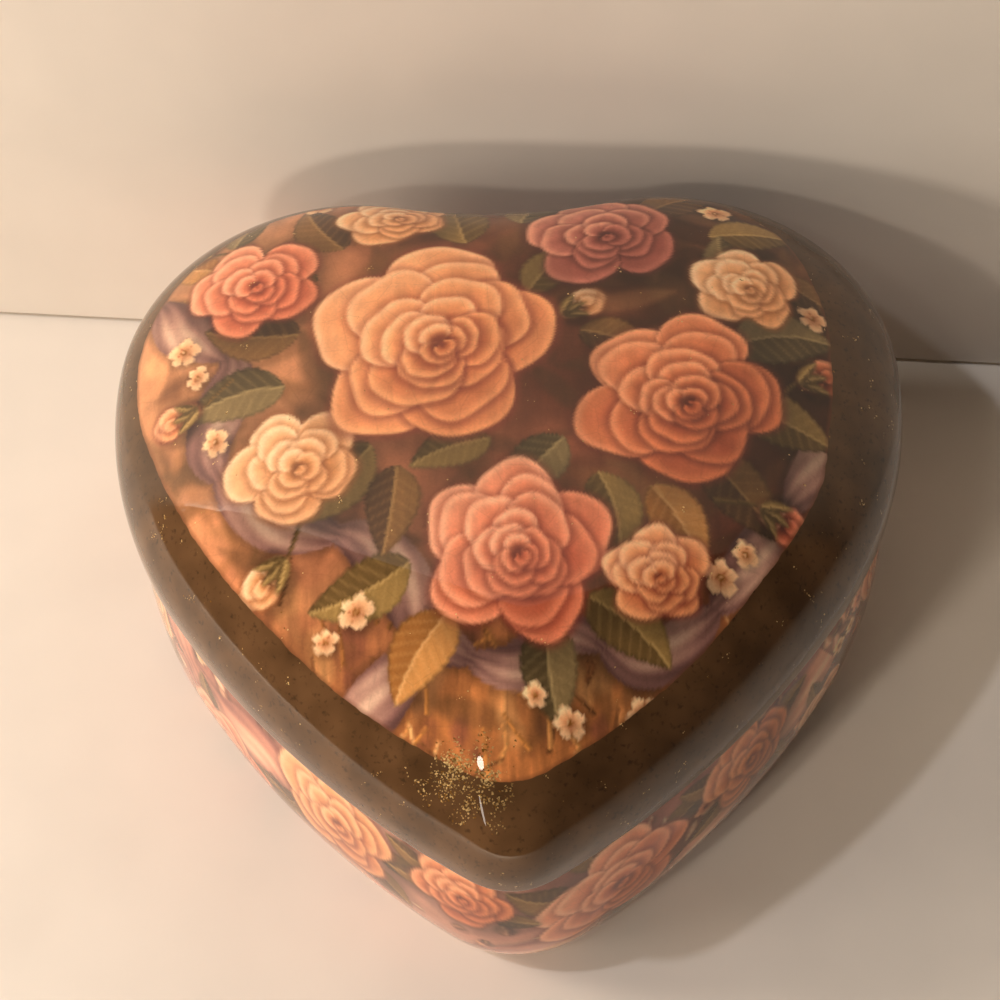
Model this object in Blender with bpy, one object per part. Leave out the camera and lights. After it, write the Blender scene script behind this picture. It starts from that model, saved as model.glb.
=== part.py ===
# Heart-shaped ceramic trinket box: a hollow cast body and a loose domed lid.
# Metres, +Z up, tip of the heart towards -Y. The origin lies under the middle of the foot.

from math import acos, atan2, cos, hypot, pi, radians, sin, sqrt

import bmesh
import bpy

# Plan of the heart at the lid's rim, half by half, as arcs that meet smoothly
RIM_WIDTH = 0.130
TIP_REACH = 0.0876
LOBE_RADIUS = 0.0353
FLANK_RADIUS = 0.071
SIDE_RADIUS = 0.150
TIP_RADIUS = 0.0115
CLEFT_RADIUS = 0.070
FLANK_END_ANGLE = radians(3.0)

# Body
BODY_HEIGHT = 0.040
RIM_OVERHANG = 0.0030
BELLY_INSET = 0.0
BELLY_HEIGHT = 0.0175
FOOT_INSET = 0.0042
FOOT_TIP_RADIUS = 0.021
FOOT_ROUNDING = 0.0020
BODY_WALL = 0.0042
FLOOR_THICKNESS = 0.0050
FLOOR_ROUNDING = 0.0040
MOUTH_ROUNDING = 0.0010

# Lid
SEAT_GAP = 0.0003
RIM_BAND_HEIGHT = 0.0032
RIM_EDGE_ROUNDING = 0.0014
LID_RISE = 0.024
DOME_SHOULDER = 2.7
DOME_CREST = 2.2
DOME_CENTRE_REACH = 0.012
CROWN_HALF_WIDTH = 0.060
CROWN_HALF_DEPTH = 0.058
CROWN_BLEND = 0.70
LID_WALL = 0.0042
LIP_CLEARANCE = 0.0008
LIP_THICKNESS = 0.0028
LIP_DROP = 0.0050
LIP_ROUNDING = 0.0008

# How finely each arc and each section is drawn
TIP_STEPS = 4
SIDE_STEPS = 6
FLANK_STEPS = 7
LOBE_STEPS = 14
CLEFT_STEPS = 5
BODY_LEVELS = 8
DOME_LEVELS = 13
INNER_DOME_LEVELS = 9
CROWN_SPACING = 1.3
ROUNDING_STEPS = 2

BODY_COLOUR = (0.245, 0.105, 0.085, 1.0)
LID_COLOUR = (0.085, 0.055, 0.025, 1.0)
GLAZE_ROUGHNESS = 0.12


def arc(centre, radius, start, end, steps):
    """Points along an arc, without its last one."""
    points = []
    for step in range(steps):
        angle = start + (end - start) * step / steps
        points.append((centre[0] + radius * cos(angle), centre[1] + radius * sin(angle)))
    return points


def direction(origin, target):
    return atan2(target[1] - origin[1], target[0] - origin[0])


def heart_centres():
    """Centres of the arcs of the right-hand half, for the heart at the rim."""
    lobe_x = RIM_WIDTH / 2 - FLANK_RADIUS + (FLANK_RADIUS - LOBE_RADIUS) * cos(FLANK_END_ANGLE)
    lobe = (lobe_x, 0.0)
    flank = (
        lobe_x - (FLANK_RADIUS - LOBE_RADIUS) * cos(FLANK_END_ANGLE),
        -(FLANK_RADIUS - LOBE_RADIUS) * sin(FLANK_END_ANGLE),
    )
    tip = (0.0, TIP_RADIUS - TIP_REACH)
    cleft = (0.0, sqrt((LOBE_RADIUS + CLEFT_RADIUS) ** 2 - lobe_x ** 2))
    # The side arc touches the tip's arc and the flank's arc from outside both
    to_tip = SIDE_RADIUS - TIP_RADIUS
    to_flank = SIDE_RADIUS - FLANK_RADIUS
    span = hypot(flank[0] - tip[0], flank[1] - tip[1])
    along = ((flank[0] - tip[0]) / span, (flank[1] - tip[1]) / span)
    foot = (to_tip ** 2 - to_flank ** 2 + span ** 2) / (2 * span)
    off = sqrt(to_tip ** 2 - foot ** 2)
    side = (tip[0] + along[0] * foot - along[1] * off, tip[1] + along[1] * foot + along[0] * off)
    return lobe, flank, side, cleft


def heart(inset, tip_radius=TIP_RADIUS):
    """The closed outline that runs this far inside the rim, from the tip round to the right."""
    lobe, flank, side, cleft = heart_centres()
    reach = SIDE_RADIUS - inset - tip_radius
    tip = (0.0, side[1] - sqrt(reach ** 2 - side[0] ** 2))
    tip_end = direction(side, tip)
    side_end = direction(side, flank)
    lobe_end = direction(lobe, cleft)
    half = arc(tip, tip_radius, -pi / 2, tip_end, TIP_STEPS)
    half += arc(side, SIDE_RADIUS - inset, tip_end, side_end, SIDE_STEPS)
    half += arc(flank, FLANK_RADIUS - inset, side_end, FLANK_END_ANGLE, FLANK_STEPS)
    half += arc(lobe, LOBE_RADIUS - inset, FLANK_END_ANGLE, lobe_end, LOBE_STEPS)
    half += arc(cleft, CLEFT_RADIUS + inset, direction(cleft, lobe), -pi / 2, CLEFT_STEPS)
    half.append((0.0, cleft[1] - CLEFT_RADIUS - inset))
    mirrored = [(-x, y) for x, y in reversed(half[1:-1])]
    return half + mirrored


def centre_offset():
    """How far the heart moves along Y so that its box is centred on the origin."""
    depths = [y for _, y in heart(0.0)]
    return -(min(depths) + max(depths)) / 2


OFFSET_Y = centre_offset()


def level(outline, height):
    """An outline laid at a height, in the part's own frame."""
    return [(x, y + OFFSET_Y, height) for x, y in outline]


def quarter_turn(steps):
    """A quarter round of radius 1: how far it has gone along its first and its second side."""
    return [(sin(pi / 2 * k / steps), 1 - cos(pi / 2 * k / steps)) for k in range(steps + 1)]


def body_inset(height):
    """How far the body's outer face lies inside the rim at a height."""
    if height < BELLY_HEIGHT:
        share = (BELLY_HEIGHT - height) / BELLY_HEIGHT
        return BELLY_INSET + (FOOT_INSET - BELLY_INSET) * share ** 2
    share = (height - BELLY_HEIGHT) / (BODY_HEIGHT - BELLY_HEIGHT)
    return BELLY_INSET + (RIM_OVERHANG - BELLY_INSET) * share ** 2


def body_tip_radius(height):
    """The tip is rounder at the foot than at the mouth."""
    share = min(1.0, height / BODY_HEIGHT)
    return FOOT_TIP_RADIUS + (TIP_RADIUS - FOOT_TIP_RADIUS) * share


def body_level(height, extra_inset=0.0):
    return level(heart(body_inset(height) + extra_inset, body_tip_radius(height)), height)


def body_rings():
    """The body's sections, from under the foot, up outside, over the mouth and down inside."""
    rings = []
    for outward, rise in quarter_turn(ROUNDING_STEPS):
        rings.append(body_level(FOOT_ROUNDING * rise, FOOT_ROUNDING * (1 - outward)))
    low = FOOT_ROUNDING
    high = BODY_HEIGHT - MOUTH_ROUNDING
    for step in range(1, BODY_LEVELS + 1):
        rings.append(body_level(low + (high - low) * step / BODY_LEVELS))
    for rise, inward in quarter_turn(ROUNDING_STEPS)[1:]:
        rings.append(body_level(high + MOUTH_ROUNDING * rise, MOUTH_ROUNDING * inward))
    for inward, drop in quarter_turn(ROUNDING_STEPS):
        extra = BODY_WALL - MOUTH_ROUNDING * (1 - inward)
        rings.append(body_level(BODY_HEIGHT - MOUTH_ROUNDING * drop, extra))
    floor_top = FLOOR_THICKNESS + FLOOR_ROUNDING
    for step in range(1, BODY_LEVELS):
        rings.append(body_level(high - (high - floor_top) * step / (BODY_LEVELS - 1), BODY_WALL))
    for drop, inward in quarter_turn(ROUNDING_STEPS + 1)[1:]:
        extra = BODY_WALL + FLOOR_ROUNDING * inward
        rings.append(body_level(floor_top - FLOOR_ROUNDING * drop, extra))
    return rings


def dome_ring(base, oval, share, height):
    """The base outline drawn in towards the dome's centre, turning into an oval on the way."""
    centre_y = -DOME_CENTRE_REACH
    blend = CROWN_BLEND * (1 - share)
    points = []
    for x, y in base:
        reach = hypot(x, y - centre_y)
        turn = atan2(y - centre_y, x)
        oval_reach = 1 / hypot(cos(turn) / oval[0], sin(turn) / oval[1])
        drawn = share * (reach + (oval_reach - reach) * blend)
        points.append((drawn * cos(turn), centre_y + drawn * sin(turn)))
    return level(points, height)


def dome_share(rise):
    """How much of the outline is left at this share of the dome's rise."""
    return (1 - rise ** DOME_CREST) ** (1 / DOME_SHOULDER)


def dome_rises(first, levels):
    """Shares of the rise from the first one up to just under the crown, closer towards it."""
    foot_angle = acos(first)
    turns = [(levels - k) / levels for k in range(levels)]
    return [cos(foot_angle * turn ** CROWN_SPACING) for turn in turns]


def lid_rings():
    """The lid's sections, from near the crown, down outside, round the lip and up inside."""
    seat = BODY_HEIGHT + SEAT_GAP
    band_top = seat + RIM_BAND_HEIGHT
    rim = heart(0.0)
    outer_oval = (CROWN_HALF_WIDTH, CROWN_HALF_DEPTH)
    rings = []
    for rise in reversed(dome_rises(0.0, DOME_LEVELS)):
        height = band_top + LID_RISE * rise
        rings.append(dome_ring(rim, outer_oval, dome_share(rise), height))
    for rise, inward in quarter_turn(ROUNDING_STEPS):
        drop = RIM_EDGE_ROUNDING * (1 - rise)
        rings.append(level(heart(RIM_EDGE_ROUNDING * inward), seat + drop))
    lip_outer = RIM_OVERHANG + BODY_WALL + LIP_CLEARANCE
    lip_inner = lip_outer + LIP_THICKNESS
    lip_base = seat - LIP_DROP
    rings.append(level(heart(lip_outer), seat))
    rings.append(level(heart(lip_outer), lip_base + LIP_ROUNDING))
    rings.append(level(heart(lip_outer + LIP_ROUNDING), lip_base))
    rings.append(level(heart(lip_inner - LIP_ROUNDING), lip_base))
    rings.append(level(heart(lip_inner), lip_base + LIP_ROUNDING))
    rings.append(level(heart(lip_inner), seat + LID_WALL))
    inner_rim = heart(LID_WALL)
    inner_oval = (CROWN_HALF_WIDTH - LID_WALL, CROWN_HALF_DEPTH - LID_WALL)
    inner_rise = LID_RISE - LID_WALL
    first = max(0.0, (LID_WALL - RIM_BAND_HEIGHT) / inner_rise)
    if RIM_BAND_HEIGHT > LID_WALL:
        rings.append(level(inner_rim, seat + LID_WALL))
    for rise in dome_rises(first, INNER_DOME_LEVELS):
        height = band_top + inner_rise * rise
        rings.append(dome_ring(inner_rim, inner_oval, dome_share(rise), height))
    return rings, band_top + LID_RISE, band_top + inner_rise


def glaze(name, colour):
    material = bpy.data.materials.new(name)
    material.use_nodes = True
    shader = material.node_tree.nodes["Principled BSDF"]
    shader.inputs["Base Color"].default_value = colour
    shader.inputs["Roughness"].default_value = GLAZE_ROUGHNESS
    shader.inputs["Metallic"].default_value = 0.0
    shader.inputs["Coat Weight"].default_value = 1.0
    material.diffuse_color = colour
    return material


def loft(name, rings, first_cap, last_cap, material):
    """One closed solid through the rings, with a cap at each end that rises to its height."""
    shape = bmesh.new()
    loops = [[shape.verts.new(point) for point in ring] for ring in rings]
    count = len(loops[0])
    for lower, upper in zip(loops, loops[1:]):
        for i in range(count):
            j = (i + 1) % count
            shape.faces.new((lower[i], lower[j], upper[j], upper[i]))
    for loop, height in ((loops[0], first_cap), (loops[-1], last_cap)):
        cap = bmesh.ops.poke(shape, faces=[shape.faces.new(loop)])
        cap["verts"][0].co.z = height
    bmesh.ops.recalc_face_normals(shape, faces=shape.faces[:])
    mesh = bpy.data.meshes.new(name)
    shape.to_mesh(mesh)
    shape.free()
    mesh.materials.append(material)
    mesh.shade_smooth()
    mesh.set_sharp_from_angle(angle=radians(40))
    piece = bpy.data.objects.new(name, mesh)
    bpy.context.scene.collection.objects.link(piece)
    return piece


def main():
    for old in list(bpy.data.objects):
        bpy.data.objects.remove(old, do_unlink=True)
    loft("box_body", body_rings(), 0.0, FLOOR_THICKNESS, glaze("body_glaze", BODY_COLOUR))
    rings, crown, inner_crown = lid_rings()
    loft("lid", rings, crown, inner_crown, glaze("lid_glaze", LID_COLOUR))


main()
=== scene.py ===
# Heart-shaped trinket box in glazed ceramic: a hollow tapered body under a loose domed lid.
# Both carry a printed rose pattern that lies under a thick clear glaze.

from math import atan2, cos, hypot, pi, radians, sin, sqrt

import bpy
import numpy as np
from mathutils import Matrix, Quaternion, Vector


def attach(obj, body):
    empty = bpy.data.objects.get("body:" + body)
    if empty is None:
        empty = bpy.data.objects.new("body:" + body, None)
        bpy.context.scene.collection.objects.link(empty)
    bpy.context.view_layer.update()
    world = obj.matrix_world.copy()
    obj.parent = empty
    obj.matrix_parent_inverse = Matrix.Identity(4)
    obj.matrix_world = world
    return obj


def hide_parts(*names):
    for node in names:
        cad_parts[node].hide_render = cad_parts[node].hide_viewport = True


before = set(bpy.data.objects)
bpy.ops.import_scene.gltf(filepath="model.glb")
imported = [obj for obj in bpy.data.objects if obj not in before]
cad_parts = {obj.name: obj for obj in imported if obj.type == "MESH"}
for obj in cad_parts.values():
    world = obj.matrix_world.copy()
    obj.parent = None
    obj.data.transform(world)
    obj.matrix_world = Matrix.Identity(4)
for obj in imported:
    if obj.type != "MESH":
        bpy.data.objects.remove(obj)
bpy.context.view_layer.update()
print("CAD frame loaded")

mm = 0.001

# Plan of the heart at the lid's rim, half by half, as arcs that meet smoothly, in millimetres
heartPlan = {
    "rimWidth": 130.0,
    "tipReach": 87.6,
    "lobeRadius": 35.3,
    "flankRadius": 71.0,
    "sideRadius": 150.0,
    "tipRadius": 11.5,
    "cleftRadius": 70.0,
    "flankEndAngle": radians(3.0),
    "handSoftening": 1.4,
    "wayRound": 400.0,  # about the length of the whole rim
}

bodySizes = {
    "height": 40.0,
    "rimOverhang": 3.0,
    "bellyInset": 0.0,
    "bellyHeight": 17.5,
    "footInset": 4.2,
    "footTipRadius": 21.0,
    "footRounding": 2.0,
    "wall": 4.2,
    "floorThickness": 5.0,
    "floorRounding": 4.0,
    "mouthRounding": 1.0,
    "floorCentre": 20.0,  # from the lobes' centres towards the tip
}

lidSizes = {
    "seatGap": 0.3,
    "rimBandHeight": 3.2,
    "rimEdgeRounding": 1.4,
    "rise": 24.0,
    "shoulder": 2.7,
    "crest": 2.2,
    "centreReach": 12.0,  # from the lobes' centres towards the tip
    "crownHalfWidth": 60.0,
    "crownHalfDepth": 58.0,
    "crownBlend": 0.70,
    "sectionReach": 64.0,  # half the width of the dome that its rings are spaced on
    "printedShare": 0.925,  # how far out the finest mesh goes, as a share of the rim
    "wall": 4.2,
    "lipClearance": 0.8,
    "lipThickness": 2.8,
    "lipDrop": 5.0,
    "lipRounding": 0.8,
}

# How far apart the mesh points lie, in millimetres
meshSteps = {"print": 0.42, "band": 0.75, "wall": 0.49, "plain": 1.5, "small": 1.0}


def bearing(origin, target):
    return atan2(target[1] - origin[1], target[0] - origin[0])


def heartCentres():
    p = heartPlan
    bend = p["flankRadius"] - p["lobeRadius"]
    lobeX = p["rimWidth"] / 2 - p["flankRadius"] + bend * cos(p["flankEndAngle"])
    flank = (lobeX - bend * cos(p["flankEndAngle"]), -bend * sin(p["flankEndAngle"]))
    tip = (0.0, p["tipRadius"] - p["tipReach"])
    cleft = (0.0, sqrt((p["lobeRadius"] + p["cleftRadius"]) ** 2 - lobeX ** 2))
    toTip = p["sideRadius"] - p["tipRadius"]
    toFlank = p["sideRadius"] - p["flankRadius"]
    span = hypot(flank[0] - tip[0], flank[1] - tip[1])
    along = ((flank[0] - tip[0]) / span, (flank[1] - tip[1]) / span)
    foot = (toTip ** 2 - toFlank ** 2 + span ** 2) / (2 * span)
    off = sqrt(toTip ** 2 - foot ** 2)
    side = (tip[0] + along[0] * foot - along[1] * off, tip[1] + along[1] * foot + along[0] * off)
    return (lobeX, 0.0), flank, side, cleft


def arcHeart(stations, inset, tipRadius):
    # Points at even shares of the way round, from the tip to the right, for a heart inside the rim
    p = heartPlan
    lobe, flank, side, cleft = heartCentres()
    tip = (0.0, side[1] - sqrt((p["sideRadius"] - inset - tipRadius) ** 2 - side[0] ** 2))
    tipEnd, sideEnd, lobeEnd = bearing(side, tip), bearing(side, flank), bearing(lobe, cleft)
    centre = np.array([tip, side, flank, lobe, cleft])
    radius = np.array([tipRadius, p["sideRadius"] - inset, p["flankRadius"] - inset,
                       p["lobeRadius"] - inset, p["cleftRadius"] + inset])
    start = np.array([-pi / 2, tipEnd, sideEnd, p["flankEndAngle"], bearing(cleft, lobe)])
    end = np.array([tipEnd, sideEnd, p["flankEndAngle"], lobeEnd, -pi / 2])
    length = radius * np.abs(end - start)
    ends = np.cumsum(length)
    stations = stations % 1.0
    along = np.minimum(stations, 1 - stations) * 2 * ends[-1]
    which = np.minimum(np.searchsorted(ends, along), 4)
    share = (along - (ends - length)[which]) / length[which]
    angle = start[which] + (end - start)[which] * share
    x = centre[which, 0] + radius[which] * np.cos(angle)
    y = centre[which, 1] + radius[which] * np.sin(angle)
    return np.stack([np.where(stations > 0.5, -x, x), y], axis=-1)


def heart(stations, inset, tipRadius=heartPlan["tipRadius"]):
    # The arcs' joints are softened by hand, as on a cast piece
    reach = heartPlan["handSoftening"] / heartPlan["wayRound"]
    shifts = np.linspace(-2, 2, 9)
    weights = np.exp(-shifts ** 2 / 2)
    parts = [w * arcHeart(stations + s * reach, inset, tipRadius) for s, w in zip(shifts, weights)]
    return sum(parts) / weights.sum()


plainRim = arcHeart(np.arange(2000) / 2000, 0.0, heartPlan["tipRadius"])
offsetY = -(plainRim[:, 1].min() + plainRim[:, 1].max()) / 2


def stationsFor(count):
    return np.arange(count) / count


def ringAt(outline, height):
    z = np.broadcast_to(np.asarray(height, dtype=float), outline.shape[:1])
    return np.column_stack([outline[:, 0], outline[:, 1] + offsetY, z])


def quarterTurn(steps):
    turn = np.linspace(0, pi / 2, steps + 1)
    return list(zip(np.sin(turn), 1 - np.cos(turn)))


def bodyInset(height):
    b = bodySizes
    if height < b["bellyHeight"]:
        share = (b["bellyHeight"] - height) / b["bellyHeight"]
        return b["bellyInset"] + (b["footInset"] - b["bellyInset"]) * share ** 2
    share = (height - b["bellyHeight"]) / (b["height"] - b["bellyHeight"])
    return b["bellyInset"] + (b["rimOverhang"] - b["bellyInset"]) * share ** 2


def bodyRing(count, height, extraInset=0.0):
    share = min(1.0, height / bodySizes["height"])
    tipRadius = bodySizes["footTipRadius"]
    tipRadius += (heartPlan["tipRadius"] - tipRadius) * share
    return ringAt(heart(stationsFor(count), bodyInset(height) + extraInset, tipRadius), height)


def domeShare(rise):
    return (1 - rise ** lidSizes["crest"]) ** (1 / lidSizes["shoulder"])


def domeRing(count, share, inset, baseHeight, rise):
    # The rim's outline drawn in towards the dome's centre, turning into an oval on the way
    base = heart(stationsFor(count), inset)
    centreY = -lidSizes["centreReach"]
    reach = np.hypot(base[:, 0], base[:, 1] - centreY)
    turn = np.arctan2(base[:, 1] - centreY, base[:, 0])
    halfWidth = lidSizes["crownHalfWidth"] - inset
    halfDepth = lidSizes["crownHalfDepth"] - inset
    ovalReach = 1 / np.hypot(np.cos(turn) / halfWidth, np.sin(turn) / halfDepth)
    drawn = share * (reach + (ovalReach - reach) * lidSizes["crownBlend"] * (1 - share))
    points = np.column_stack([drawn * np.cos(turn), centreY + drawn * np.sin(turn)])
    lift = (1 - share ** lidSizes["shoulder"]) ** (1 / lidSizes["crest"])
    return ringAt(points, baseHeight + rise * lift)


def evenShares(rise, first, last, step):
    # Shares of the dome's outline whose rings lie evenly along a section of the dome
    fine = np.concatenate([np.linspace(0, 0.98, 800), 1 - 0.02 * np.linspace(1, 0, 800)[1:] ** 2])
    lift = (1 - fine ** lidSizes["shoulder"]) ** (1 / lidSizes["crest"])
    steps = np.hypot(np.diff(fine * lidSizes["sectionReach"]), np.diff(lift * rise))
    length = np.concatenate([[0], np.cumsum(steps)])
    low, high = np.interp([first, last], fine, length)
    count = max(2, int(round(abs(high - low) / step)))
    return np.interp(np.linspace(low, high, count + 1), length, fine)


def zipRings(countA, countB):
    # Triangles between an inner ring A and the next ring B, whatever their counts
    stepA = (np.arange(countA) + 0.5) / countA
    stepB = (np.arange(countB) + 0.5) / countB
    atB = np.searchsorted(stepB, stepA, side="left")
    atA = np.searchsorted(stepA, stepB, side="right")
    a, b = np.arange(countA), np.arange(countB)
    onA = np.column_stack([a, countA + atB % countB, (a + 1) % countA])
    onB = np.column_stack([atA % countA, countA + b, countA + (b + 1) % countB])
    return np.vstack([onA, onB])


def countFor(share, step, most=2000):
    return int(min(most, max(16, 8 * round(share * heartPlan["wayRound"] / step / 8))))


def unrollRings(rings, middle):
    # Each ring spread to its true distance along the surface, so that the print isn't stretched
    flat, length, before = [], 0.0, None
    for ring in rings:
        away = ring[:, :2] - np.array(middle[:2])
        reach = np.hypot(away[:, 0], away[:, 1]).mean()
        now = np.array([reach, ring[:, 2].mean()])
        length += reach if before is None else np.hypot(*(now - before))
        before = now
        flat.append(away / reach * length)
    return flat


def buildLoft(name, rings, charts, firstCap, lastCap):
    # One closed mesh through the rings, capped at both ends. A chart is a sheet of the UV map
    starts = np.cumsum([0] + [len(ring) for ring in rings])
    points = np.vstack(rings + [[firstCap], [lastCap]])
    faces, faceCharts = [], []
    for k in range(len(rings) - 1):
        strip = zipRings(len(rings[k]), len(rings[k + 1])) + starts[k]
        faces.append(strip)
        faceCharts.append(np.full(len(strip), charts[k]))
    first, last = len(rings[0]), len(rings[-1])
    a = np.arange(first)
    faces.append(np.column_stack([np.full(first, starts[-1]), a, (a + 1) % first]))
    faceCharts.append(np.full(first, charts[0]))
    b = np.arange(last)
    faces.append(np.column_stack([np.full(last, starts[-1] + 1), (b + 1) % last + starts[-2],
                                  b + starts[-2]]))
    faceCharts.append(np.full(last, charts[-1]))
    faces = np.vstack(faces)
    mesh = bpy.data.meshes.new(name)
    mesh.from_pydata((points * mm).tolist(), [], faces.tolist())
    mesh.shade_smooth()
    piece = bpy.data.objects.new(name, mesh)
    bpy.context.scene.collection.objects.link(piece)
    print(name, "has", len(faces), "triangles")
    return {"piece": piece, "points": points, "faces": faces, "faceCharts": np.concatenate(faceCharts),
            "rings": rings, "charts": charts, "starts": starts}


def buildLid():
    s = lidSizes
    seat = bodySizes["height"] + s["seatGap"]
    bandTop = seat + s["rimBandHeight"]
    rings, charts = [], []

    def add(ring, chart):
        rings.append(ring)
        charts.append(chart)

    printEnd = s["printedShare"]
    most = countFor(printEnd, meshSteps["print"])
    for share in evenShares(s["rise"], 0.012, printEnd, meshSteps["print"] * 1.02):
        add(domeRing(countFor(share, meshSteps["print"], most), share, 0.0, bandTop, s["rise"]), 0)
    rim = countFor(1.0, meshSteps["band"])
    for share in evenShares(s["rise"], printEnd, 1.0, meshSteps["band"])[1:]:
        add(domeRing(rim, share, 0.0, bandTop, s["rise"]), 0)
    for height in np.linspace(bandTop, seat + s["rimEdgeRounding"], 4)[1:-1]:
        add(ringAt(heart(stationsFor(rim), 0.0), height), 0)
    for rise, inward in quarterTurn(6):
        drop = s["rimEdgeRounding"] * (1 - rise)
        add(ringAt(heart(stationsFor(rim), s["rimEdgeRounding"] * inward), seat + drop), 0)
    charts[-1] = 1
    lipOuter = bodySizes["rimOverhang"] + bodySizes["wall"] + s["lipClearance"]
    lipInner = lipOuter + s["lipThickness"]
    lipBase = seat - s["lipDrop"]
    around = countFor(1.0, meshSteps["small"])
    fine = stationsFor(around)
    for inset in np.linspace(s["rimEdgeRounding"], lipOuter, 6)[1:]:
        add(ringAt(heart(fine, inset), seat), 1)
    for height in np.linspace(seat, lipBase + s["lipRounding"], 5)[1:-1]:
        add(ringAt(heart(fine, lipOuter), height), 1)
    for rise, inward in quarterTurn(3):
        drop = lipBase + s["lipRounding"] * (1 - rise)
        add(ringAt(heart(fine, lipOuter + s["lipRounding"] * inward), drop), 1)
    for inward, rise in quarterTurn(3):
        inset = lipInner - s["lipRounding"] * (1 - inward)
        add(ringAt(heart(fine, inset), lipBase + s["lipRounding"] * rise), 1)
    for height in np.linspace(lipBase + s["lipRounding"], seat + s["wall"], 8)[1:]:
        add(ringAt(heart(fine, lipInner), height), 1)
    innerRise = s["rise"] - s["wall"]
    firstRise = max(0.0, (s["wall"] - s["rimBandHeight"]) / innerRise)
    for share in evenShares(innerRise, domeShare(firstRise), 0.02, meshSteps["plain"]):
        add(domeRing(countFor(share, meshSteps["plain"], around), share, s["wall"], bandTop, innerRise), 1)
    crownY = offsetY - s["centreReach"]
    return buildLoft("boxLid", rings, charts, [0, crownY, bandTop + s["rise"]],
                     [0, crownY, bandTop + innerRise])


def buildBody():
    b = bodySizes
    rings, charts = [], []

    def add(ring, chart):
        rings.append(ring)
        charts.append(chart)

    around = countFor(1.0, meshSteps["wall"])
    coarse = countFor(1.0, meshSteps["small"])
    middle = np.array([0.0, offsetY - b["floorCentre"], 0.0])
    for share in np.linspace(0.03, 1.0, 40)[:-1]:
        ring = bodyRing(countFor(share, meshSteps["plain"], coarse), 0.0, b["footRounding"])
        add(middle + (ring - middle) * share, 1)
    for outward, rise in quarterTurn(6):
        add(bodyRing(around, b["footRounding"] * rise, b["footRounding"] * (1 - outward)), 0)
    low, high = b["footRounding"], b["height"] - b["mouthRounding"]
    levels = int(round((high - low) / meshSteps["wall"]))
    for height in np.linspace(low, high, levels + 1)[1:]:
        add(bodyRing(around, height), 0)
    for rise, inward in quarterTurn(3)[1:]:
        add(bodyRing(coarse, high + b["mouthRounding"] * rise, b["mouthRounding"] * inward), 2)
    for inward, drop in quarterTurn(3):
        extra = b["wall"] - b["mouthRounding"] * (1 - inward)
        add(bodyRing(coarse, b["height"] - b["mouthRounding"] * drop, extra), 2)
    floorTop = b["floorThickness"] + b["floorRounding"]
    for height in np.linspace(high, floorTop, 20)[1:]:
        add(bodyRing(coarse, height, b["wall"]), 2)
    for drop, inward in quarterTurn(6)[1:]:
        ring = bodyRing(coarse, floorTop - b["floorRounding"] * drop, b["wall"] + b["floorRounding"] * inward)
        add(ring, 2)
    inside = np.array([0.0, offsetY - b["floorCentre"], b["floorThickness"]])
    for share in np.linspace(1.0, 0.03, 36)[1:]:
        count = countFor(share, meshSteps["plain"], coarse)
        ring = bodyRing(count, b["floorThickness"], b["wall"] + b["floorRounding"])
        add(inside + (ring - inside) * share, 2)
    return buildLoft("boxBody", rings, charts, middle, inside)


lidShape = buildLid()
bodyShape = buildBody()
print("meshes built")


def fitSheet(flat, low, high):
    # A chart moved and scaled evenly into its part of the UV square
    lowest, highest = flat.min(0), flat.max(0)
    scale = ((np.array(high) - np.array(low)) / (highest - lowest)).min()
    return np.array(low) + (flat - lowest) * scale


def writeUv(shape, corners):
    layer = shape["piece"].data.uv_layers.new(name="OFBake")
    layer.data.foreach_set("uv", corners.reshape(-1).astype(np.float32))


def writeDabs(shape, colours, edges):
    # The painted colours and the distance to the print's edge, in millimetres, at each point
    mesh = shape["piece"].data
    colours = np.where(colours < 0.04045, colours / 12.92, ((colours + 0.055) / 1.055) ** 2.4)
    layer = mesh.attributes.new("print", "FLOAT_COLOR", "POINT")
    layer.data.foreach_set("color", np.column_stack([colours, np.ones(len(colours))]).reshape(-1))
    mesh.attributes.new("printEdge", "FLOAT", "POINT").data.foreach_set("value", edges)


# Painting: each mesh point is a dab of paint, placed in millimetres on the unrolled surface.
# The painted light comes from the upper left
paintLamp = radians(128)


def tone(hexCode):
    return np.array([int(hexCode[i:i + 2], 16) for i in (1, 3, 5)]) / 255


def ease(low, high, value):
    t = np.clip((value - low) / (high - low), 0, 1)
    return t * t * (3 - 2 * t)


def cloud(x, y, size, seed, layers=3):
    # Soft mottling from 0 to 1, with its largest patches this many millimetres wide
    total, weight = 0.0, 0.0
    for layer in range(layers):
        table = np.random.default_rng(seed * 10 + layer).random((64, 64))
        gx, gy = x / size * 2 ** layer, y / size * 2 ** layer
        ix, iy = np.floor(gx).astype(int), np.floor(gy).astype(int)
        fx, fy = gx - ix, gy - iy
        fx, fy = fx * fx * (3 - 2 * fx), fy * fy * (3 - 2 * fy)
        low = table[ix % 64, iy % 64] * (1 - fx) + table[(ix + 1) % 64, iy % 64] * fx
        high = table[ix % 64, (iy + 1) % 64] * (1 - fx) + table[(ix + 1) % 64, (iy + 1) % 64] * fx
        total = total + (low * (1 - fy) + high * fy) * 0.5 ** layer
        weight += 0.5 ** layer
    return total / weight


def newSheet(x, y, ground):
    return {"x": x, "y": y, "rgb": np.tile(tone(ground), (len(x), 1))}


def lay(sheet, spots, cover, colour):
    cover = np.clip(cover, 0, 1)[:, None]
    sheet["rgb"][spots] += cover * (colour - sheet["rgb"][spots])


def around(sheet, place, reach, turn=0.0):
    dx, dy = sheet["x"] - place[0], sheet["y"] - place[1]
    spots = np.flatnonzero((np.abs(dx) < reach) & (np.abs(dy) < reach))
    dx, dy = dx[spots], dy[spots]
    return spots, dx * cos(turn) + dy * sin(turn), dy * cos(turn) - dx * sin(turn)


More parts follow.
